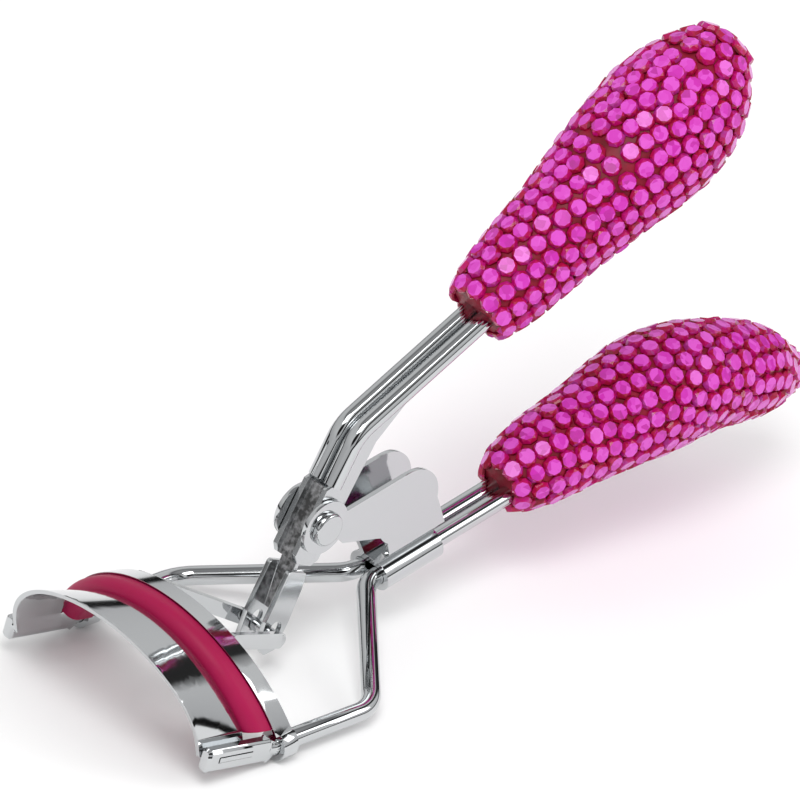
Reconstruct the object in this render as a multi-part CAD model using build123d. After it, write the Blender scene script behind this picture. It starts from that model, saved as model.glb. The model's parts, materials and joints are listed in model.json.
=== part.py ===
from build123d import *
from math import atan2, cos, degrees, hypot, radians, sin, sqrt, tan
import os

# Eyelash curler with scissor lever, sliding jaw and jewelled grips, in millimetres.
# The model is drawn round the main pivot: -X is the jaw end, +X the grips, +Z up, and the
# near side is -Y. At the end everything moves so that the origin is under the middle.

# ---- frame wires ----
wireDiameter = 2.4
railSpacing = 34.0  # between the two guide rails
railHeight = -16.7  # rail axis, from the pivot
railBendX = -2.5  # where a wire turns from the splay into the rail
railBendRadius = 5.0
clampExitX = 10.95
clampExitZ = -11.7
clampExitRadius = 4.0
wirePairGap = 0.1  # between the two wires inside clamp and grip
handleAngle = 12.6  # slope of the lower handle
barStartX = -19.55  # the rail's round section ends here
barTransition = 1.3
barLength = 10.6
barHeight = 3.0
barThickness = 1.7
barTipBevel = 0.35
barCornerBevel = 0.4  # along the bar's long edges

# ---- jaw arch, shared by the fixed plate, channel and pad ----
archSideGap = 0.05  # plate to bar
archRise = 10.3
plateFrontRise = 10.9  # the plate's front edge is half an ellipse
archLean = 18.0  # the arch plane leans towards the jaw end
jawTilt = 9.0  # slope of plate and bars
plateThickness = 0.6
plateWidth = 7.8
plateRearX = -24.0
plateFoot = 2.1  # arch foot above the rail axis
tongueStart = 0.3
tongueLength = 5.7
tongueProud = 0.1
slotClearance = 0.1

# ---- moving jaw ----
eyeOuterRadius = 2.0
eyeClearance = 0.08
eyeLength = 2.4
jawStopGap = 0.25  # eye to bar when closed
barTopGap = 0.3  # channel foot to bar
channelDepth = 3.1
channelWall = 0.45
channelBack = 0.5
padHalfWidth = 1.65
padBulge = 0.2
padClearance = 0.05
padJawGap = 0.3  # pad to fixed plate when closed
padCorner = 1.6
yokeStripWidth = 1.9
yokeStripThickness = 0.9
yokeJawY = 8.0
yokePinY = 3.0
yokePinRadius = 0.8

# ---- clamp bracket and pivot ----
sheet = 0.6
earSideGap = 0.1  # lever to ear
pivotLobeRadius = 3.6
rearLobeRadius = 5.1
rearLobeX = 14.4
rearLobeZ = -1.4
sleeveLength = 9.3
sleeveClearance = 0.05
sleeveSheet = 0.8
earFootHeight = 3.6  # the ears end here, above the wires, and pinch in to the crease
creaseY = 1.1
rivetRadius = 0.9
rivetClearance = 0.05
rivetHeadRadius = 2.2
rivetHeadHeight = 0.8

# ---- lever ----
leverHalfWidth = 1.95
leverWall = 0.7
leverDepth = 4.6
webSetback = 0.95
webThickness = 0.5
leverFrontX = -2.37  # front edge of the lever at pivot height
leverLean = 67.1  # slope of the lever's lower part
leverTopZ = 4.9  # where the round wires end
leverNeckZ = -4.1
leverNeckCorner = 0.9
leverWireX = 1.3
leverBendX = 4.0
leverBendZ = 11.25
leverBendRadius = 5.0
leverGripX = 23.9
leverGripZ = 21.8
wireInGrip = 16.0

# ---- hook arm ----
hookPinX = -5.2
hookPinRise = 2.7  # above the rail axis
hookPinClearance = 0.15
jawTravel = 9.7
hookWeb = 0.6
hookBottomRadius = 2.7

# ---- grips: (x, z, radius) of the solid core along its axis ----
upperSections = [
    (23.6, 22.2, 3.4),
    (26.5, 24.2, 4.5),
    (32.2, 28.0, 5.3),
    (39.2, 32.6, 6.2),
    (46.5, 37.3, 7.5),
    (52.3, 41.5, 7.7),
    (56.2, 45.4, 6.2),
    (59.3, 48.7, 3.1),
]
lowerSections = [
    (34.8, -5.9, 2.7),
    (37.6, -4.8, 4.0),
    (44.1, -3.1, 4.9),
    (51.7, -1.4, 5.8),
    (58.5, 0.0, 6.6),
    (66.0, 0.2, 6.2),
    (74.0, -1.2, 5.4),
    (80.0, -2.9, 3.9),
    (84.4, -4.2, 1.9),
]
glueCoat = 0.3
stoneLayer = 0.9  # the faceted stones' height above the glue

wireRadius = wireDiameter / 2
pairY = wireRadius + wirePairGap / 2
railY = railSpacing / 2
archChord = railSpacing - barThickness - plateThickness - 2 * archSideGap
plateRearZ = railHeight + plateFoot
hookPinZ = railHeight + hookPinRise
archRadius = ((archChord / 2) ** 2 + archRise**2) / (2 * archRise)
leanDir = Vector(-sin(radians(archLean)), 0, cos(radians(archLean)))
tiltDir = Vector(-cos(radians(jawTilt)), 0, sin(radians(jawTilt)))
tiltSlope = tan(radians(jawTilt))
archNormal = Vector(cos(radians(archLean)), 0, sin(radians(archLean)))
handleDir = Vector(cos(radians(handleAngle)), 0, sin(radians(handleAngle)))
eyeFrontX = barStartX + jawStopGap
eyeRearX = eyeFrontX + eyeLength


def tube(points, radii, radius):
    """A round wire along straight runs joined by tangent arcs."""
    path = FilletPolyline(*points, radius=radii)
    return sweep(Plane(origin=path @ 0, z_dir=path % 0) * Circle(radius), path=path)


def sidePlate(outline, inner, outer, side):
    """A flat plate drawn in XZ, standing between inner and outer distance from the middle plane."""
    middle = side * (inner + outer) / 2
    plane = Plane(origin=(0, middle, 0), x_dir=(1, 0, 0), z_dir=(0, -1, 0))
    return extrude(plane * outline, (outer - inner) / 2, both=True)


def outlineXZ(points, radius=0):
    """A filled outline from (x, z) points, with rounded corners if radius is given."""
    face = make_face(Polyline(*points, close=True))
    if radius:
        face = fillet(face.vertices(), radius)
    return face


def crossBar(x, z, radius, halfLength):
    """A round bar across the curler."""
    return Pos(x, 0, z) * Rot(90, 0, 0) * Cylinder(radius, 2 * halfLength)


def archBand(startX, inset, halfWidth, length, halfAngle=90.0):
    """A stretch of the arch: startX is its rear edge at the arch's foot, inset moves it along the tilt."""
    footZ = plateRearZ - (startX - plateRearX) * tiltSlope
    foot = Vector(startX, 0, footZ)
    centre = foot - leanDir * (archRadius - archRise) + tiltDir * inset
    plane = Plane(origin=centre, x_dir=(0, 1, 0), z_dir=archNormal)
    ring = Circle(archRadius + halfWidth) - Circle(archRadius - halfWidth)
    reach = 2 * archRadius
    if halfAngle >= 90:
        keep = Pos(0, archRadius - archRise + reach / 2) * Rectangle(2 * reach, reach)
    else:
        edge = reach * sin(radians(halfAngle))
        keep = make_face(Polyline((0, 0), (edge, reach * cos(radians(halfAngle))), (0, 2 * reach),
                                  (-edge, reach * cos(radians(halfAngle))), close=True))
    return extrude(plane * (ring & keep), length, dir=tiltDir)


# ---- frame wires ----
barStart = Vector(barStartX, 0, railHeight)
barFull = barStart + Vector(-barTransition, 0, 0)
slotDrop = (plateRearZ - railHeight - (barFull.X - plateRearX) * tiltSlope) / (
    leanDir.Z + sin(radians(archLean)) * tiltSlope)
tongueRear = Vector(plateRearX, 0, plateRearZ) - leanDir * slotDrop
slotHeight = plateThickness + 2 * slotClearance


def barAlong(sideY, start, length, width, height):
    """A straight bar in the tilt direction, from start, at one side of the jaw."""
    plane = Plane(origin=Vector(start.X, sideY, start.Z), x_dir=(0, 1, 0), z_dir=tiltDir)
    return extrude(plane * Rectangle(width, height), length)


def frameWire(side):
    wireEnd = Vector(clampExitX, 0, clampExitZ) + handleDir * (
        (lowerSections[0][0] - clampExitX) / handleDir.X + wireInGrip)
    points = [
        (wireEnd.X, side * pairY, wireEnd.Z),
        (clampExitX, side * pairY, clampExitZ),
        (railBendX, side * railY, railHeight),
        (barStartX, side * railY, railHeight),
    ]
    wire = tube(points, (clampExitRadius, railBendRadius), wireRadius)
    coneLength = 1.2 * barTransition
    cone = Pos(barStartX - coneLength / 2, side * railY, railHeight) * Rot(0, -90, 0) * Cone(
        wireRadius, barThickness * 0.35, coneLength)
    rearPlane = Plane(origin=(barStartX + barTransition * 0.3, side * railY, railHeight), x_dir=(0, 1, 0),
                      z_dir=(-1, 0, 0))
    flatPlane = Plane(origin=(barFull.X, side * railY, railHeight), x_dir=(0, 1, 0), z_dir=tiltDir)
    flatSection = Rectangle(barThickness, barHeight)
    shoulder = loft([rearPlane * Rectangle(barThickness * 0.8, barThickness * 0.8), flatPlane * flatSection])
    bar = extrude(flatPlane * flatSection, barLength)
    bar = chamfer(bar.edges().filter_by(Axis.Y, reverse=True).filter_by(
        lambda edge: edge.length > barLength / 2), barCornerBevel)
    tipFace = bar.faces().sort_by(Axis.X)[0]
    bar = chamfer(tipFace.edges(), barTipBevel)
    slotStart = tongueRear + tiltDir * (tongueStart - slotClearance)
    slot = barAlong(side * railY, slotStart, tongueLength + 2 * slotClearance, 2 * barThickness, slotHeight)
    return wire + cone + shoulder + bar - slot


# ---- fixed jaw plate: arch, short drops beside the bars, tongues through their slots ----
def bandFace(outer, inner):
    """The face between two curves that run from side to side."""
    return make_face([outer, Line(outer @ 1, inner @ 1), inner, Line(inner @ 0, outer @ 0)])


def archFace(half, rise):
    wide = half + plateThickness / 2
    narrow = half - plateThickness / 2
    outer = ThreePointArc((-wide, 0), (0, rise + plateThickness / 2), (wide, 0))
    inner = ThreePointArc((-narrow, 0), (0, rise - plateThickness / 2), (narrow, 0))
    return bandFace(outer, inner)


def ellipseFace(half, rise):
    thick = plateThickness / 2
    outer = EllipticalCenterArc((0, 0), half + thick, rise + thick, start_angle=0, arc_size=180)
    inner = EllipticalCenterArc((0, 0), half - thick, rise - thick, start_angle=0, arc_size=180)
    return bandFace(outer, inner)


def fixedPlate():
    half = archChord / 2
    plane = Plane(origin=(plateRearX, 0, plateRearZ), x_dir=(0, 1, 0), z_dir=archNormal)
    frontPlane = Plane(origin=Vector(plateRearX, 0, plateRearZ) + tiltDir * plateWidth,
                       x_dir=(0, 1, 0), z_dir=archNormal)
    rear = archFace(half, archRise)
    front = ellipseFace(half, plateFrontRise)
    plate = loft([plane * rear, frontPlane * front], ruled=True)
    for side in (-1, 1):
        drop = Pos(side * half, (plateThickness - slotDrop) / 2) * Rectangle(
            plateThickness, slotDrop + plateThickness * 2)
        plate += extrude(plane * drop, plateWidth, dir=tiltDir)
        tongueOut = railY + barThickness / 2 + tongueProud
        tongueIn = half - plateThickness / 2
        tongueStartPoint = tongueRear + tiltDir * tongueStart
        plate += barAlong(side * (tongueOut + tongueIn) / 2, tongueStartPoint, tongueLength,
                          tongueOut - tongueIn, plateThickness)
    return plate


# ---- moving jaw ----
jawRearX = eyeRearX
channelHalf = padHalfWidth + padClearance + channelWall


def jawEyes(radius, grow=0.0):
    eyes = []
    for side in (-1, 1):
        middle = (eyeFrontX + eyeRearX) / 2
        barrel = Rot(0, 90, 0) * Cylinder(radius, eyeLength + 2 * grow)
        eyes.append(Pos(middle, side * railY, railHeight) * barrel)
    return eyes


def jawEnvelope():
    return archBand(jawRearX, 0, channelHalf, channelDepth)


def jawChannel():
    body = jawEnvelope()
    body -= archBand(jawRearX, channelBack, padHalfWidth + padClearance, channelDepth)
    room = archRadius
    barTop = railHeight + barHeight / 2 + barTopGap
    for side in (-1, 1):
        corner = Pos(eyeFrontX - room / 2, side * (archChord / 2 + room / 2), barTop - room / 2)
        body -= corner * Box(room, room, room)
    for eye in jawEyes(eyeOuterRadius):
        body += eye
    for bore in jawEyes(wireRadius + eyeClearance, 2 * channelDepth):
        body -= bore
    return body


def siliconePad():
    padAngle = degrees(atan2(archChord / 2 - 1.0, archRadius - archRise))
    padEnd = (jawRearX - plateRearX) / cos(radians(jawTilt)) - padJawGap
    insideStart = channelBack + padClearance
    inside = archBand(jawRearX, insideStart, padHalfWidth, channelDepth - channelBack, padAngle)
    start = channelDepth + padClearance
    front = archBand(jawRearX, start, padHalfWidth + padBulge, padEnd - start, padAngle)
    faceEdges = front.edges().filter_by(GeomType.CIRCLE).sort_by(Axis.X)[:2]
    front = fillet(faceEdges, padCorner)
    return inside + front


def jawYoke():
    yoke = crossBar(hookPinX, hookPinZ, yokePinRadius, yokePinY + yokeStripThickness / 2)
    lift = sqrt((archRadius + channelHalf * 0.4) ** 2 - yokeJawY**2) - (archRadius - archRise)
    footZ = plateRearZ - (jawRearX - plateRearX) * tiltSlope
    anchor = Vector(jawRearX, 0, footZ) + leanDir * lift
    for side in (-1, 1):
        pin = Vector(hookPinX, side * yokePinY, hookPinZ)
        jawEnd = Vector(anchor.X, side * yokeJawY, anchor.Z)
        run = jawEnd - pin
        faceNormal = run.cross(Vector(0, 0, 1)).normalized()
        plane = Plane(origin=(pin + jawEnd) * 0.5, x_dir=run, z_dir=faceNormal)
        strip = SlotOverall(run.length + yokeStripWidth, yokeStripWidth)
        yoke += extrude(plane * strip, yokeStripThickness / 2, both=True)
    return yoke - jawEnvelope()


# ---- clamp bracket: two ears and the sleeve round the wires, one sheet ----
earInner = leverHalfWidth + earSideGap
earOuter = earInner + sheet


def clampBracket():
    splay = Vector(clampExitX - railBendX, railY - pairY, clampExitZ - railHeight)
    bendRun = clampExitRadius * tan(radians(handleDir.get_angle(splay) / 2))
    sleeveStart = Vector(clampExitX, 0, clampExitZ) + handleDir * bendRun
    sleeveEnd = sleeveStart + handleDir * sleeveLength
    outline = outlineXZ([
        (0, 0),
        (pivotLobeRadius + 0.1, 1.5),
        (rearLobeX - 1.5, rearLobeZ + rearLobeRadius - 0.2),
        (rearLobeX + rearLobeRadius, rearLobeZ),
        (sleeveEnd.X, sleeveEnd.Z + earFootHeight),
        (sleeveStart.X, sleeveStart.Z + earFootHeight),
        (sleeveStart.X - 0.7, sleeveStart.Z + 5.4),
        (sleeveStart.X - 1.6, sleeveStart.Z + 6.5),
        (sleeveStart.X - 3.2, sleeveStart.Z + 6.9),
        (pivotLobeRadius, -3.2),
    ])
    outline += Circle(pivotLobeRadius)
    outline += Pos(rearLobeX, rearLobeZ) * Circle(rearLobeRadius)
    outline -= Circle(rivetRadius + rivetClearance)
    start = Plane(origin=sleeveStart, x_dir=(0, 1, 0), z_dir=handleDir)
    innerRadius = wireRadius + sleeveClearance
    sleeveRadius = innerRadius + sleeveSheet
    outer = SlotCenterToCenter(2 * pairY, 2 * sleeveRadius)
    inner = SlotCenterToCenter(2 * pairY, 2 * innerRadius)
    pinch = make_face(Polyline(
        (earOuter, earFootHeight), (earInner, earFootHeight + 0.3), (creaseY - 0.4, sleeveRadius - 0.2),
        (creaseY + 0.3, sleeveRadius - 0.2), close=True))
    bracket = extrude(start * (outer + pinch + mirror(pinch, about=Plane.YZ)), sleeveLength)
    for side in (-1, 1):
        bracket += sidePlate(outline, earInner, earOuter, side)
    return bracket - extrude(start * inner, sleeveLength * 3, both=True)


def pivotRivet():
    rivet = crossBar(0, 0, rivetRadius, earOuter)
    for side in (-1, 1):
        seat = Pos(0, side * (earOuter + rivetHeadHeight / 2 + 0.02), 0) * Rot(side * -90, 0, 0)
        head = seat * Cylinder(rivetHeadRadius, rivetHeadHeight)
        rim = head.edges().filter_by(GeomType.CIRCLE).sort_by(Axis.Y)[-1 if side > 0 else 0]
        rivet += fillet(rim, rivetHeadHeight * 0.55)
    return rivet + crossBar(0, 0, rivetRadius, earOuter + 0.1)


# ---- lever ----
leverUp = Vector(cos(radians(leverLean)), 0, sin(radians(leverLean)))
leverBack = Vector(sin(radians(leverLean)), 0, -cos(radians(leverLean)))


def leverPoint(height, back):
    """(x, z) on the lever's lower part: height above the pivot, distance behind the front edge."""
    along = height / leverUp.Z
    point = Vector(leverFrontX, 0, 0) + leverUp * along + leverBack * back
    return (point.X, point.Z)


def leverWirePoints(side):
    rise = atan2(leverGripZ - leverBendZ, leverGripX - leverBendX)
    reach = hypot(leverGripZ - leverBendZ, leverGripX - leverBendX) + wireInGrip
    endX = leverBendX + reach * cos(rise)
    endZ = leverBendZ + reach * sin(rise)
    corners = [(endX, endZ), (leverBendX, leverBendZ), (leverWireX, leverTopZ)]
    return [(x, side * pairY, z) for x, z in corners]


def leverWire(side, radius):
    return tube(leverWirePoints(side), (leverBendRadius,), radius)


def leverChannel():
    walls = outlineXZ([
        leverPoint(leverNeckZ, leverNeckCorner),
        leverPoint(leverNeckZ + leverNeckCorner, 0),
        leverPoint(leverTopZ, 0),
        (leverWireX, leverTopZ + 0.5),
        (leverBendX, leverBendZ),
        (leverBendX + 9.0, leverBendZ + 4.4),
        (leverBendX + 3.0, leverBendZ - 1.6),
        leverPoint(leverTopZ, leverDepth),
        leverPoint(leverNeckZ + leverNeckCorner, leverDepth),
        leverPoint(leverNeckZ, leverDepth - leverNeckCorner),
    ])
    web = outlineXZ([
        leverPoint(leverNeckZ, webSetback),
        leverPoint(leverTopZ, webSetback),
        leverPoint(leverTopZ, webSetback + webThickness),
        leverPoint(leverNeckZ, webSetback + webThickness),
    ])
    inner = leverHalfWidth - leverWall
    channel = sidePlate(web, -inner, inner, 1)
    for side in (-1, 1):
        channel += sidePlate(walls, inner, leverHalfWidth, side)
    channel -= crossBar(0, 0, rivetRadius + rivetClearance, 2 * leverHalfWidth)
    for side in (-1, 1):
        channel -= leverWire(side, wireRadius)
    return channel


def hookArm():
    inner = leverHalfWidth - leverWall
    neck = leverPoint(leverNeckZ, 0)
    pinRadius = hypot(hookPinX, hookPinZ)
    armUp = Vector(-hookPinX, 0, -hookPinZ).normalized()
    armBack = Vector(armUp.Z, 0, -armUp.X)

    def armPoint(radius, back):
        point = armUp * -radius + armBack * back
        return (point.X, point.Z)

    plates = outlineXZ([
        armPoint(6.4, -2.1),
        armPoint(13.4, -2.3),
        armPoint(pinRadius + hookBottomRadius - 0.9, -1.9),
        armPoint(pinRadius + hookBottomRadius, 0),
        armPoint(pinRadius + hookBottomRadius - 0.9, 1.7),
        armPoint(13.0, 1.9),
        armPoint(8.6, 1.7),
        armPoint(6.4, 1.3),
    ], 0.5)
    slotShort = sqrt(pinRadius**2 - hookPinX**2)
    slotMiddle = (slotShort + pinRadius) / 2
    slotWide = 2 * (yokePinRadius + hookPinClearance)
    slotPlane = Plane(origin=(armPoint(slotMiddle, 0)[0], 0, armPoint(slotMiddle, 0)[1]),
                      x_dir=armUp, z_dir=(0, -1, 0))
    slotFace = slotPlane * SlotOverall(pinRadius - slotShort + slotWide, slotWide)
    slot = extrude(slotFace, 2 * leverHalfWidth, both=True)
    tongueTop = leverPoint(-2.2, webSetback + webThickness + 0.05)
    tongueTopBack = leverPoint(-2.2, webSetback + webThickness + 0.05 + hookWeb)
    web = outlineXZ([tongueTop, tongueTopBack, armPoint(7.0, 0.2), armPoint(12.4, 0.9),
                     armPoint(12.4, 0.3), armPoint(7.0, -0.6)])
    arm = sidePlate(web, -inner, inner, 1)
    for side in (-1, 1):
        arm += sidePlate(plates, inner, leverHalfWidth, side)
    return arm - slot


# ---- grips ----
def gripSolid(sections, grow):
    """A smooth round body through circles that stand square to the grip's axis."""
    axis = Spline(*[(x, 0, z) for x, z, _ in sections])
    faces = []
    for x, z, radius in sections:
        here = axis.position_at(axis.param_at_point(Vector(x, 0, z)))
        along = axis.tangent_at(axis.param_at_point(Vector(x, 0, z)))
        faces.append(Plane(origin=here, x_dir=(0, 1, 0), z_dir=along) * Circle(radius + grow))
    return loft(faces)


def gripParts(sections, wires):
    """Core, glue coat and stone layer, each hollow round the one before and bored for the wires."""
    core = gripSolid(sections, 0)
    glued = gripSolid(sections, glueCoat)
    layers = [core, glued - core, gripSolid(sections, glueCoat + stoneLayer) - glued]
    for wire in wires:
        layers = [layer - wire for layer in layers]
    return layers


def main():
    frameWires = {side: frameWire(side) for side in (-1, 1)}
    leverWires = {side: leverWire(side, wireRadius) for side in (-1, 1)}
    lowerCore, lowerGlue, lowerStones = gripParts(lowerSections, frameWires.values())
    upperCore, upperGlue, upperStones = gripParts(upperSections, leverWires.values())
    nodes = {
        "frame_wire_near": frameWires[-1],
        "frame_wire_far": frameWires[1],
        "fixed_jaw_plate": fixedPlate(),
        "clamp_bracket": clampBracket(),
        "pivot_rivet": pivotRivet(),
        "lower_grip_core": lowerCore,
        "lower_grip_glue": lowerGlue,
        "lower_grip_stones": lowerStones,
        "lever_wire_near": leverWires[-1],
        "lever_wire_far": leverWires[1],
        "lever_channel": leverChannel(),
        "hook_arm": hookArm(),
        "upper_grip_core": upperCore,
        "upper_grip_glue": upperGlue,
        "upper_grip_stones": upperStones,
        "jaw_channel": jawChannel(),
        "jaw_yoke": jawYoke(),
        "silicone_pad": siliconePad(),
    }
    solids = {name: shape.solids() for name, shape in nodes.items()}
    boxes = [solid.bounding_box() for group in solids.values() for solid in group]
    low = [min(getattr(box.min, axis) for box in boxes) for axis in "XYZ"]
    high = [max(getattr(box.max, axis) for box in boxes) for axis in "XYZ"]
    shift = Pos(-(low[0] + high[0]) / 2, -(low[1] + high[1]) / 2, -low[2])
    os.makedirs("parts", exist_ok=True)
    for name, group in solids.items():
        moved = [shift * s for s in group]
        print(name, len(moved), round(sum(s.volume for s in moved), 2), flush=True)
        export_step(moved[0], f"parts/{name}.step")
    pivot = shift.position
    slotShort = -hookPinZ
    closedAngle = atan2(-hookPinX, slotShort)
    openAngle = atan2(jawTravel + hookPinX, slotShort)
    print("pivot", pivot.X, pivot.Y, pivot.Z)
    print("lever range deg", degrees(closedAngle + openAngle), "jaw travel", jawTravel)
    print("ratio m per rad", jawTravel / 1000 / (closedAngle + openAngle))
    print("size", [b - a for a, b in zip(low, high)])


main()
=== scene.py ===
import json
import math
import random

import bpy
from mathutils import Matrix, Vector


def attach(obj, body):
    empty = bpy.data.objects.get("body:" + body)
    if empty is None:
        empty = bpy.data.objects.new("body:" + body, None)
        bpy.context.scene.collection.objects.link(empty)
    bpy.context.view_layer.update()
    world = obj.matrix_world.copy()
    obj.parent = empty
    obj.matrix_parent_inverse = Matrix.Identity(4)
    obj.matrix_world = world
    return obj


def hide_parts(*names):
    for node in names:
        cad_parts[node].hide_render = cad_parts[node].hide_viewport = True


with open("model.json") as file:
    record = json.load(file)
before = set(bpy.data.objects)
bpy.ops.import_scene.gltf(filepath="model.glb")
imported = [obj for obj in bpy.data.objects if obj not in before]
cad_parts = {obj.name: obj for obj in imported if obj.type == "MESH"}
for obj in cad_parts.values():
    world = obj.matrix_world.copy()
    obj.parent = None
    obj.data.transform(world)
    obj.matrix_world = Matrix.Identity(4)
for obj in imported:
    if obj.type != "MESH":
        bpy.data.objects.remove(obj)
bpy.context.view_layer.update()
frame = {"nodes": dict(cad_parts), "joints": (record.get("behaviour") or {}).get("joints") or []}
mm = 0.001
random.seed(7)
print("frame loaded")


class Wire:
    def __init__(self, tree, socket):
        self.tree, self.socket = tree, socket

    def calc(self, operation, first, second):
        node = self.tree.nodes.new("ShaderNodeMath")
        node.operation = operation
        for slot, value in zip(node.inputs, (first, second)):
            if isinstance(value, Wire):
                self.tree.links.new(value.socket, slot)
            else:
                slot.default_value = value
        return Wire(self.tree, node.outputs[0])

    def __add__(self, other):
        return self.calc("ADD", self, other)

    def __radd__(self, other):
        return self.calc("ADD", other, self)

    def __sub__(self, other):
        return self.calc("SUBTRACT", self, other)

    def __rsub__(self, other):
        return self.calc("SUBTRACT", other, self)

    def __mul__(self, other):
        return self.calc("MULTIPLY", self, other)

    def __rmul__(self, other):
        return self.calc("MULTIPLY", other, self)


class NodeBench:
    def __init__(self, tree):
        self.tree = tree

    def node(self, kind, settings, sockets, output=0):
        made = self.tree.nodes.new(kind)
        for key, value in settings.items():
            if key == "stops":
                self.setStops(made.color_ramp.elements, value)
            else:
                setattr(made, key, value)
        for key, value in sockets.items():
            self.feed(made.inputs[key], value)
        return Wire(self.tree, made.outputs[output])

    def setStops(self, ramp, stops):
        while len(ramp) > 1:
            ramp.remove(ramp[-1])
        ramp[0].position, ramp[0].color = stops[0]
        for place, colour in stops[1:]:
            ramp.new(place).color = colour

    def feed(self, socket, value):
        if isinstance(value, Wire):
            self.tree.links.new(value.socket, socket)
        else:
            socket.default_value = value


class Finish(NodeBench):
    def __init__(self, name):
        self.material = bpy.data.materials.new(name)
        self.material.use_nodes = True
        super().__init__(self.material.node_tree)
        self.shader = self.tree.nodes["Principled BSDF"]
        self.here = self.node("ShaderNodeTexCoord", {}, {}, "Object")

    def noise(self, scale, detail):
        return self.node("ShaderNodeTexNoise", {},
                         {"Vector": self.here, "Scale": scale, "Detail": detail})

    def ramp(self, stops, factor):
        return self.node("ShaderNodeValToRGB", {"stops": stops}, {"Fac": factor})

    def set(self, **values):
        for key, value in values.items():
            self.feed(self.shader.inputs[key.replace("_", " ")], value)

    def bump(self, height, strength, distance):
        self.set(Normal=self.node("ShaderNodeBump", {}, {
            "Height": height, "Strength": strength, "Distance": distance}))


# bump depths in metres, noise scales in features per metre
chromeLook = {
    "colour": (0.57, 0.585, 0.595, 1),
    "smudgeScale": 140,
    "haze": 0.05,
    "scratchScale": 900,
    "scratch": 0.02,
    "bump": 0.5,
}


def chromeFinish(name, roughness, wave, waveScale):
    finish = Finish(name)
    smudge = finish.noise(chromeLook["smudgeScale"], 4)
    scratch = finish.noise(chromeLook["scratchScale"], 3)
    haze = smudge * smudge * chromeLook["haze"]
    finish.set(Base_Color=chromeLook["colour"], Metallic=1.0,
               Roughness=haze + scratch * chromeLook["scratch"] + roughness)
    finish.bump(finish.noise(waveScale, 1), chromeLook["bump"], wave)
    return finish.material


rawSteelLook = {
    "grainScale": 1600,
    "patchScale": 420,
    "grainShare": 0.6,
    "stops": [(0.42, (0.10, 0.10, 0.10, 1)), (0.62, (0.46, 0.46, 0.47, 1))],
    "metallic": 0.85,
    "roughness": (0.30, 0.35),
    "pits": (0.8, 0.00012),
}


def rawSteelFinish():
    look = rawSteelLook
    finish = Finish("raw_steel")
    grain = finish.noise(look["grainScale"], 5)
    patch = finish.noise(look["patchScale"], 3)
    share = look["grainShare"]
    colour = finish.ramp(look["stops"], grain * share + patch * (1 - share))
    smooth, rough = look["roughness"]
    finish.set(Base_Color=colour, Metallic=look["metallic"], Roughness=smooth + grain * rough)
    finish.bump(grain + patch, *look["pits"])
    return finish.material


siliconeLook = {
    "cloudScale": 90,
    "speckScale": 2600,
    "stops": [(0.25, (0.30, 0.003, 0.050, 1)), (0.75, (0.38, 0.004, 0.070, 1))],
    "roughness": (0.44, 0.12),
    "glow": 0.1,
    "glowRadius": (0.6, 0.08, 0.12),
    "glowScale": 0.001,
    "shine": 0.22,
    "specks": (0.25, 0.00003),
}


def siliconeFinish():
    look = siliconeLook
    finish = Finish("silicone")
    cloud = finish.noise(look["cloudScale"], 3)
    speck = finish.noise(look["speckScale"], 2)
    smooth, rough = look["roughness"]
    finish.set(Base_Color=finish.ramp(look["stops"], cloud), Roughness=smooth + cloud * rough,
               Subsurface_Weight=look["glow"], Subsurface_Radius=look["glowRadius"],
               Subsurface_Scale=look["glowScale"], Specular_IOR_Level=look["shine"])
    finish.bump(speck, *look["specks"])
    return finish.material


glueLook = {
    "lumpScale": 420,
    "stops": [(0.3, (0.15, 0.004, 0.012, 1)), (0.7, (0.32, 0.008, 0.035, 1))],
    "roughness": (0.35, 0.2),
    "shine": 0.25,
    "lumps": (0.7, 0.0002),
}


def glueFinish():
    look = glueLook
    finish = Finish("red_glue")
    lumps = finish.noise(look["lumpScale"], 3)
    smooth, rough = look["roughness"]
    finish.set(Base_Color=finish.ramp(look["stops"], lumps), Roughness=smooth + lumps * rough,
               Specular_IOR_Level=look["shine"])
    finish.bump(lumps, *look["lumps"])
    return finish.material


# lengths in mm, from the glued base up to the flat table
stoneLook = {
    "diameter": 2.64,
    "pitch": 2.52,
    "rows": 0.885,
    "firstRow": 0.75,
    "fewest": 4,
    "seatLift": 0.3,
    "tipRoom": 0.7,
    "base": 0.30,
    "crown": 0.60,
    "waist": 0.90,
    "table": 0.76,
    "sides": 8,
    "sink": 0.16,
    "tilt": 0.10,
    "wander": 0.07,
    "size": (0.95, 1.03),
    "lightness": 0.05,
    # painted shade per facet: least normal z, then the tone and the swing between the painted bright
    # and dark crown sides
    "paintedFacetShade": [(0.95, 0.84, 0), (0.75, 0.40, 0.45), (0.2, 0.22, 0.20), (-2, 0.10, 0)],
    "cloudScale": 800,
    "fleckScale": 1150.0,
    "fleck": 0.42,
    "cloud": 0.1,
    "roughness": (0.14, 0.08),
    "coat": 0.1,
    "shine": 0.3,
    "ripple": (0.1, 0.00002),
    "stops": [
        (0.0, (0.16, 0.003, 0.014, 1)),
        (0.25, (0.40, 0.006, 0.05, 1)),
        (0.45, (0.46, 0.003, 0.15, 1)),
        (0.62, (0.40, 0.03, 0.25, 1)),
        (0.78, (0.56, 0.03, 0.41, 1)),
        (1.0, (0.66, 0.08, 0.54, 1)),
    ],
}


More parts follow.
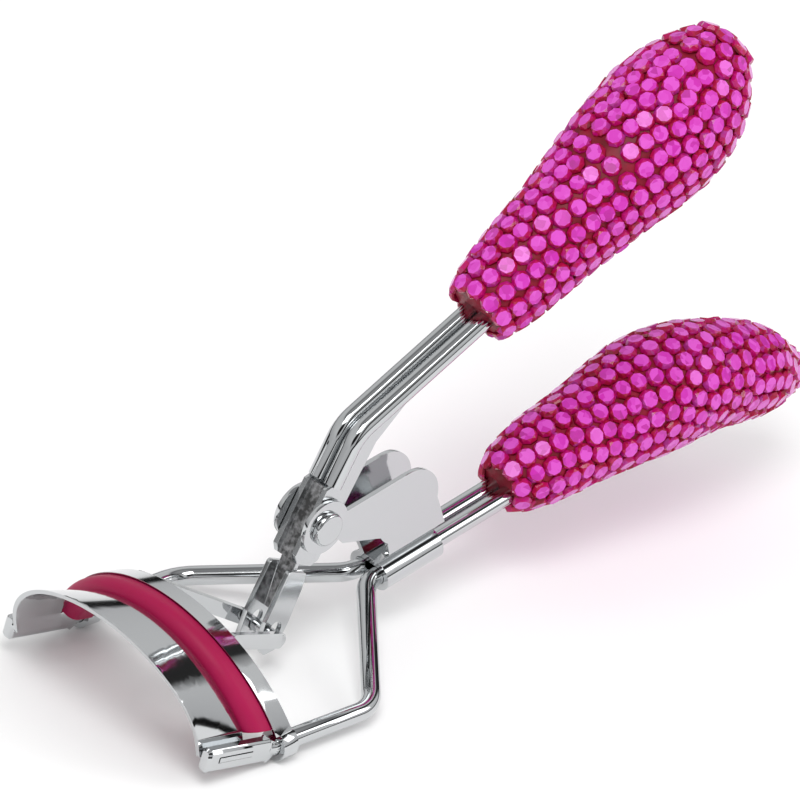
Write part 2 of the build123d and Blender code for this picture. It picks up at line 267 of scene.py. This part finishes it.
def stoneFinish():
    look = stoneLook
    finish = Finish("rhinestone")
    # each face's tone holds its random colour together with its painted light and shade
    tone = finish.node("ShaderNodeAttribute", {"attribute_name": "tone"}, {}, "Fac")
    cloud = finish.noise(look["cloudScale"], 2)
    flecks = finish.node("ShaderNodeTexVoronoi", {},
                         {"Vector": finish.here, "Scale": look["fleckScale"]}, "Color")
    fleck = finish.node("ShaderNodeSeparateColor", {}, {"Color": flecks}, "Red")
    colour = finish.ramp(look["stops"], tone + fleck * look["fleck"] - look["fleck"] / 2
                         + cloud * look["cloud"])
    smooth, rough = look["roughness"]
    finish.set(Base_Color=colour, Roughness=smooth + cloud * rough,
               Coat_Weight=look["coat"], Specular_IOR_Level=look["shine"])
    finish.bump(cloud, *look["ripple"])
    return finish.material


chrome = chromeFinish("chrome", 0.03, 0.00002, 220)
sheetChrome = chromeFinish("chrome_sheet", 0.05, 0.000035, 160)
pressedChrome = chromeFinish("chrome_pressed", 0.15, 0.00004, 300)
hammeredChrome = chromeFinish("chrome_rivet", 0.10, 0.00012, 700)
rawSteel = rawSteelFinish()
silicone = siliconeFinish()
glue = glueFinish()
rhinestone = stoneFinish()
print("materials made")


def only(obj):
    bpy.ops.object.select_all(action="DESELECT")
    obj.select_set(True)
    bpy.context.view_layer.objects.active = obj


def applyAll(obj):
    only(obj)
    for modifier in list(obj.modifiers):
        bpy.ops.object.modifier_apply(modifier=modifier.name)


def paint(obj, material):
    obj.data.materials.clear()
    obj.data.materials.append(material)


def addToScene(name, data):
    made = bpy.data.objects.new(name, data)
    bpy.context.scene.collection.objects.link(made)
    return made


polishLook = {
    "merge": 0.002,
    "flat": math.radians(0.2),
    "sharp": math.radians(32),
    "segments": 2,
}


def polished(nodeName, pieceName, body, material, bevel):
    piece = addToScene(pieceName, frame["nodes"][nodeName].data.copy())
    only(piece)
    bpy.ops.object.mode_set(mode="EDIT")
    bpy.ops.mesh.select_all(action="SELECT")
    bpy.ops.mesh.remove_doubles(threshold=polishLook["merge"] * mm)
    bpy.ops.mesh.dissolve_limited(angle_limit=polishLook["flat"], delimit=set())
    bpy.ops.object.mode_set(mode="OBJECT")
    if bevel:
        edge = piece.modifiers.new("soft_edge", "BEVEL")
        edge.width = bevel * mm
        edge.segments = polishLook["segments"]
        edge.limit_method = "ANGLE"
        edge.angle_limit = polishLook["sharp"]
        applyAll(piece)
    only(piece)
    bpy.ops.object.shade_smooth_by_angle(angle=polishLook["sharp"])
    if bevel:
        even = piece.modifiers.new("even_normals", "WEIGHTED_NORMAL")
        even.weight = 100
        even.keep_sharp = True
        applyAll(piece)
    paint(piece, material)
    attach(piece, body)
    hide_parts(nodeName)
    print("polished", pieceName, len(piece.data.polygons))
    return piece


# node, piece, body, finish and bevel in mm
metalPieces = [
    ("frame_wire_near", "wire_near", "frame", chrome, 0),
    ("frame_wire_far", "wire_far", "frame", chrome, 0),
    ("fixed_jaw_plate", "jaw_plate", "frame", sheetChrome, 0.08),
    ("clamp_bracket", "bracket", "frame", sheetChrome, 0.06),
    ("pivot_rivet", "rivet", "frame", hammeredChrome, 0.05),
    ("lever_wire_near", "lever_rod_near", "lever", chrome, 0),
    ("lever_wire_far", "lever_rod_far", "lever", chrome, 0),
    ("lever_channel", "lever_sheet", "lever", pressedChrome, 0.10),
    ("hook_arm", "hook", "lever", pressedChrome, 0.10),
    ("jaw_channel", "jaw_rail", "jaw", sheetChrome, 0.06),
    ("jaw_yoke", "yoke", "jaw", chrome, 0.1),
]
# the unpolished floor of the pressed channel, between its walls
channelFloor = {
    "nodes": ("lever_channel", "hook_arm"),
    "halfWidth": 1.2,
    "lean": 0.3,
}
for nodeName, pieceName, body, material, bevel in metalPieces:
    piece = polished(nodeName, pieceName, body, material, bevel)
    if nodeName in channelFloor["nodes"]:
        piece.data.materials.append(rawSteel)
        for face in piece.data.polygons:
            inside = abs(face.center.y) < channelFloor["halfWidth"] * mm
            if inside and abs(face.normal.y) < channelFloor["lean"]:
                face.material_index = 1

pad = polished("silicone_pad", "pad", "jaw", silicone, 0.1)


# lengths in mm, the rest are shares of the grip
gripLook = {
    "sides": 64,
    "slices": 20,
    "slice": 0.3,
    "firstSlice": 0.06,
    "sliced": 0.86,
    "seekPasses": 3,
    "smoothPasses": 2,
    "endGap": 0.1,
    "mouth": ((0.25, 0.5), (0.2, 0.9)),
    "roundEnd": 5,
    "dome": 0.42,
    "point": 0.15,
    "merge": 0.005,
    "chords": {"upper_grip_glue": (0.8, 0, 0.6), "lower_grip_glue": (1, 0, 0.05)},
}


def sliceAt(points, centre, along):
    # the middle and radius of the thin slice square to the axis here
    across = Vector((-along.z, 0, along.x))
    half = gripLook["slice"] * mm
    near = [p - centre for p in points if abs((p - centre).dot(along)) < half]
    tops = [p.dot(across) for p in near]
    return centre + across * (min(tops) + max(tops)) / 2, max(abs(p.y) for p in near)


def gripAxis(nodeName):
    points = [v.co.copy() for v in frame["nodes"][nodeName].data.vertices]
    chord = Vector(gripLook["chords"][nodeName]).normalized()
    reach = sorted(p.dot(chord) for p in points)
    first, last = reach[0], reach[-1]
    middle = sum(points, Vector()) / len(points)
    middle.y = 0
    count = gripLook["slices"]
    centres = []
    for i in range(count + 1):
        share = gripLook["firstSlice"] + gripLook["sliced"] * i / count
        centres.append(middle + chord * (first + (last - first) * share - middle.dot(chord)))
    for _ in range(gripLook["seekPasses"]):
        runs = [(centres[min(i + 2, count)] - centres[max(i - 2, 0)]).normalized()
                for i in range(count + 1)]
        centres = [sliceAt(points, centre, run)[0] for centre, run in zip(centres, runs)]
    for _ in range(gripLook["smoothPasses"]):
        inner = [(a + b * 2 + c) / 4 for a, b, c in zip(centres, centres[1:], centres[2:])]
        centres = [centres[0]] + inner + [centres[-1]]
    mouthDir = (centres[0] - centres[2]).normalized()
    tipDir = (centres[-1] - centres[-4]).normalized()
    gap = gripLook["endGap"] * mm
    mouth = max(p.dot(mouthDir) for p in points) - centres[0].dot(mouthDir) - gap
    tip = max(p.dot(tipDir) for p in points) - centres[-1].dot(tipDir) - gap
    centres = ([centres[0] + mouthDir * mouth * k for k in (1, 0.5)] + centres
               + [centres[-1] + tipDir * tip * k / 4 for k in (1, 2, 3, 4)])
    axis = []
    for i, centre in enumerate(centres):
        along = (centres[min(i + 1, len(centres) - 1)] - centres[max(i - 1, 0)]).normalized()
        axis.append((centre, sliceAt(points, centre, along)[1]))
    return axis


def gripLine(nodeName):
    # the axis with a rolled-in mouth and a rounded end
    axis = gripAxis(nodeName)
    startPoint, startRadius = axis[0]
    startDir = (axis[1][0] - startPoint).normalized()
    endPoint, endRadius = axis[-1]
    endDir = (endPoint - axis[-2][0]).normalized()
    line = [(startPoint - startDir * out * mm, startRadius * share)
            for out, share in gripLook["mouth"]]
    line += axis
    for i in range(1, gripLook["roundEnd"] + 1):
        turn = math.pi / 2 * i / gripLook["roundEnd"]
        line.append((endPoint + endDir * endRadius * gripLook["dome"] * math.sin(turn),
                     max(endRadius * math.cos(turn), gripLook["point"] * mm)))
    return line


def gripSkin(nodeName, pieceName, body):
    line = gripLine(nodeName)
    curve = bpy.data.curves.new(pieceName, "CURVE")
    curve.dimensions = "3D"
    curve.bevel_depth = 1.0
    curve.bevel_resolution = gripLook["sides"] // 4 - 2
    curve.use_fill_caps = True
    spline = curve.splines.new("POLY")
    spline.points.add(len(line) - 1)
    for point, (place, radius) in zip(spline.points, line):
        point.co = (*place, 1)
        point.radius = radius
    only(addToScene(pieceName, curve))
    bpy.ops.object.convert(target="MESH")
    made = bpy.context.view_layer.objects.active
    bpy.ops.object.mode_set(mode="EDIT")
    bpy.ops.mesh.select_all(action="SELECT")
    bpy.ops.mesh.remove_doubles(threshold=gripLook["merge"] * mm)
    bpy.ops.mesh.normals_make_consistent(inside=False)
    bpy.ops.object.mode_set(mode="OBJECT")
    bpy.ops.object.shade_smooth()
    paint(made, glue)
    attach(made, body)
    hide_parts(nodeName, nodeName.replace("glue", "core"))
    return line


def oneStone():
    base = stoneLook["base"] * mm
    top = (0, 0, base)
    rise = {"value": (0, 0, stoneLook["crown"] * 0.5 * mm)}
    waist = stoneLook["waist"]
    table = stoneLook["table"] / waist
    bpy.ops.object.select_all(action="DESELECT")
    bpy.ops.mesh.primitive_cylinder_add(
        vertices=stoneLook["sides"], radius=stoneLook["diameter"] / 2 * mm,
        depth=base, location=(0, 0, stoneLook["base"] / 2 * mm))
    stone = bpy.context.view_layer.objects.active
    only(stone)
    bpy.ops.object.transform_apply(location=True, rotation=True, scale=True)
    bpy.ops.object.mode_set(mode="EDIT")
    bpy.ops.mesh.select_mode(type="FACE")
    bpy.ops.mesh.select_all(action="DESELECT")
    bpy.ops.object.mode_set(mode="OBJECT")
    for face in stone.data.polygons:
        face.select = face.normal.z > 0.9
    bpy.ops.object.mode_set(mode="EDIT")
    bpy.ops.mesh.extrude_region_move(TRANSFORM_OT_translate=rise)
    bpy.ops.transform.resize(value=(waist, waist, 1), center_override=top)
    bpy.ops.mesh.extrude_region_move(TRANSFORM_OT_translate=rise)
    bpy.ops.transform.resize(value=(table, table, 1), center_override=top)
    bpy.ops.transform.rotate(value=math.pi / stoneLook["sides"], orient_axis="Z", center_override=top)
    bpy.ops.mesh.select_all(action="SELECT")
    bpy.ops.mesh.normals_make_consistent(inside=False)
    bpy.ops.object.mode_set(mode="OBJECT")
    print("stone faces", len(stone.data.polygons))
    return stone


def fineSteps(line):
    # place, radius, run and rise every 0.05 mm along the skin
    for (a, ra), (b, rb) in zip(line[2:], line[3:]):
        steps = max(1, int(((b - a).length + abs(rb - ra)) / (0.05 * mm)))
        for i in range(steps):
            yield a.lerp(b, i / steps), ra + (rb - ra) * i / steps, b - a, rb - ra


def stonePlaces(line):
    # rings of seats, each turned half a stone against the last
    dense = list(fineSteps(line))
    pitch = stoneLook["pitch"] * mm
    rowGap = stoneLook["pitch"] * stoneLook["rows"] * mm
    travelled = rowGap * stoneLook["firstRow"]
    lastPlace, lastRadius = dense[0][:2]
    ringRadius, ring = 0, 0
    places = []
    for place, radius, run, rise in dense:
        travelled += math.hypot((place - lastPlace).length, radius - lastRadius)
        lastPlace, lastRadius = place, radius
        count = round(2 * math.pi * (radius + stoneLook["seatLift"] * mm) / pitch)
        if travelled < rowGap or count < stoneLook["fewest"]:
            continue
        travelled -= rowGap
        side = Vector((0, 1, 0))
        lift = run.normalized().cross(side)
        for k in range(count):
            wander = random.uniform(-1, 1) * stoneLook["wander"]
            turn = 2 * math.pi * (k + (ring % 2) / 2 + wander / 2) / count
            ray = side * math.cos(turn) + lift * math.sin(turn)
            places.append((place + ray * radius,
                           (ray * run.length - run.normalized() * rise).normalized()))
        ring += 1
        ringRadius = radius
    if ringRadius > stoneLook["tipRoom"] * pitch:
        places.append((line[-1][0], (line[-1][0] - line[-2][0]).normalized()))
    return places


def stoneTonesAndPaintedShade(stone):
    # painted light and shade: the table is painted light, the girdle and base are painted dark, and
    # each crown has a painted bright side and a painted dark side, turned at random
    heights = [face.normal.z for face in stone.data.polygons]
    turns = [math.atan2(face.center.y, face.center.x) for face in stone.data.polygons]
    light = random.uniform(-1, 1) * stoneLook["lightness"]
    dark = random.uniform(0, 2 * math.pi)
    tones_and_painted_shade = []
    for height, turn in zip(heights, turns):
        # painted shade: crown facets turned towards this side are painted lighter, those turned away
        # darker
        shade = 0.5 + 0.5 * math.cos(turn - dark)
        tone = next(base + swing * shade
                    for least, base, swing in stoneLook["paintedFacetShade"] if height > least)
        tones_and_painted_shade.append(tone + light)
    return tones_and_painted_shade


def setStones(line, stone, nodeName, pieceName, body):
    copies = []
    for point, normal in stonePlaces(line):
        copy = addToScene(pieceName + "_one", stone.data.copy())
        lean = Vector([random.uniform(-1, 1) * stoneLook["tilt"] for _ in range(3)])
        turn = (normal + lean).normalized().to_track_quat("Z", "Y").to_matrix().to_4x4()
        spin = Matrix.Rotation(random.uniform(0, math.pi), 4, "Z")
        size = Matrix.Scale(random.uniform(*stoneLook["size"]), 4)
        seat = Matrix.Translation(point - normal * stoneLook["sink"] * mm)
        copy.data.transform(seat @ turn @ spin @ size)
        copies.append(copy)
    bpy.ops.object.select_all(action="DESELECT")
    for copy in copies:
        copy.select_set(True)
    bpy.context.view_layer.objects.active = copies[0]
    bpy.ops.object.join()
    made = bpy.context.view_layer.objects.active
    made.name = pieceName
    # the painted light and shade of every stone's faces, with its random colour
    tones_and_painted_shade = [tone for _ in copies for tone in stoneTonesAndPaintedShade(stone)]
    made.data.attributes.new("tone", "FLOAT", "FACE").data.foreach_set("value", tones_and_painted_shade)
    paint(made, rhinestone)
    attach(made, body)
    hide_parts(nodeName)
    print("stones", pieceName, len(copies))


stone = oneStone()
for grip, body in (("upper", "lever"), ("lower", "frame")):
    line = gripSkin(grip + "_grip_glue", grip + "_grip_coat", body)
    setStones(line, stone, grip + "_grip_stones", grip + "_stones", body)
bpy.data.objects.remove(stone)


studio = {
    "floor": 6.0,
    "floorDrop": 0.0002,
    "floorColour": (0.93, 0.93, 0.93, 1),
    "floorRoughness": 0.9,
    "floorShine": 0.1,
    "worldStrength": 0.80,
    "boxSize": 0.4,
    "boxes": [
        ("key", (-0.35, -0.25, 0.75), 3.0),
        ("fill", (0.5, -0.5, 0.5), 1.2),
    ],
}

bpy.ops.object.select_all(action="DESELECT")
bpy.ops.mesh.primitive_plane_add(size=studio["floor"], location=(0, 0, -studio["floorDrop"]))
floor = bpy.context.view_layer.objects.active
floor.name = "floor"
floorFinish = Finish("floor_paper")
floorFinish.set(Base_Color=studio["floorColour"], Roughness=studio["floorRoughness"],
                Specular_IOR_Level=studio["floorShine"])
paint(floor, floorFinish.material)

# angles in degrees, distance in metres, right and up in mm from the pivot
cameraLook = {
    "azimuth": -50.4,
    "elevation": 29.8,
    "roll": 11.0,
    "distance": 2.0,
    "lens": 750.8,
    "right": 10.71,
    "up": 14.15,
}
azimuth, elevation, roll = (math.radians(cameraLook[k]) for k in ("azimuth", "elevation", "roll"))
back = Vector((math.sin(azimuth) * math.cos(elevation),
               -math.cos(azimuth) * math.cos(elevation), math.sin(elevation)))
level = Vector((0, 0, 1)).cross(back).normalized()
upright = back.cross(level)
right = level * math.cos(roll) + upright * math.sin(roll)
up = upright * math.cos(roll) - level * math.sin(roll)
pivot = Vector(next(j for j in frame["joints"] if j["name"] == "lever_pivot")["pos_m"])
target = pivot + right * cameraLook["right"] * mm + up * cameraLook["up"] * mm
camera = addToScene("camera", bpy.data.cameras.new("camera"))
camera.matrix_world = Matrix((
    (right.x, up.x, back.x, 0), (right.y, up.y, back.y, 0), (right.z, up.z, back.z, 0), (0, 0, 0, 1)))
camera.location = target + back * cameraLook["distance"]
camera.data.lens = cameraLook["lens"]
camera.data.clip_start = 0.01
bpy.context.scene.camera = camera


def grey(shade):
    return (shade, shade, shade, 1)


# dark seams of the light tent: round the horizon, round its lens hole and down one side
tentLook = {
    "seam": [(0.0, grey(0.9)), (0.50, grey(0.5)), (0.508, grey(0.01)), (0.55, grey(0.01)),
             (0.565, (0.75, 0.75, 0.76, 1)), (0.75, grey(1)), (0.90, grey(0.9)),
             (0.94, (0.25, 0.25, 0.26, 1)), (1.0, grey(0.5))],
    "lensHole": [(0.0, grey(1)), (0.955, grey(1)), (0.975, grey(0.03)), (1.0, grey(0.02))],
    "sideSeam": [(0.0, grey(0.85)), (0.30, grey(1)), (0.70, grey(1)), (0.74, grey(0.04)),
                 (0.80, grey(0.04)), (0.84, grey(1))],
}

sky = bpy.data.worlds.new("studio")
bpy.context.scene.world = sky
sky.use_nodes = True
tent = NodeBench(sky.node_tree)


def tentRamp(name, factor):
    return tent.node("ShaderNodeValToRGB", {"stops": tentLook[name]}, {"Fac": factor})


def towardsThe(direction):
    return tent.node("ShaderNodeVectorMath", {"operation": "DOT_PRODUCT"},
                     {0: towards, 1: tuple(direction)}, "Value")


def mixed(blend, factor, first, second):  # sockets 6 and 7 take the colours, output 2 gives one
    return tent.node("ShaderNodeMix", {"data_type": "RGBA", "blend_type": blend},
                     {"Factor": factor, 6: first, 7: second}, 2)


# only mirror reflections see the seams: the eye and matt surfaces see even white
towards = tent.node("ShaderNodeTexCoord", {}, {}, "Generated")
height = tent.node("ShaderNodeSeparateXYZ", {}, {"Vector": towards}, "Z")
banded = mixed("MULTIPLY", 1.0, tentRamp("seam", height * 0.5 + 0.5),
               tentRamp("lensHole", towardsThe(back)))
banded = mixed("MULTIPLY", 1.0, banded, tentRamp("sideSeam", towardsThe(level) * 0.5 + 0.5))
mirrored = tent.node("ShaderNodeLightPath", {}, {}, "Is Glossy Ray")
skyColour = mixed("MIX", mirrored, (1, 1, 1, 1), banded)
ground = sky.node_tree.nodes["Background"]
ground.inputs["Strength"].default_value = studio["worldStrength"]
sky.node_tree.links.new(skyColour.socket, ground.inputs["Color"])

for name, place, power in studio["boxes"]:
    lamp = bpy.data.lights.new(name, "AREA")
    lamp.shape = "RECTANGLE"
    lamp.size = lamp.size_y = studio["boxSize"]
    lamp.energy = power
    softbox = addToScene(name, lamp)
    softbox.location = place
    softbox.rotation_euler = (target - Vector(place)).to_track_quat("-Z", "Y").to_euler()

bpy.context.scene.view_settings.view_transform = "Standard"
print("studio ready")
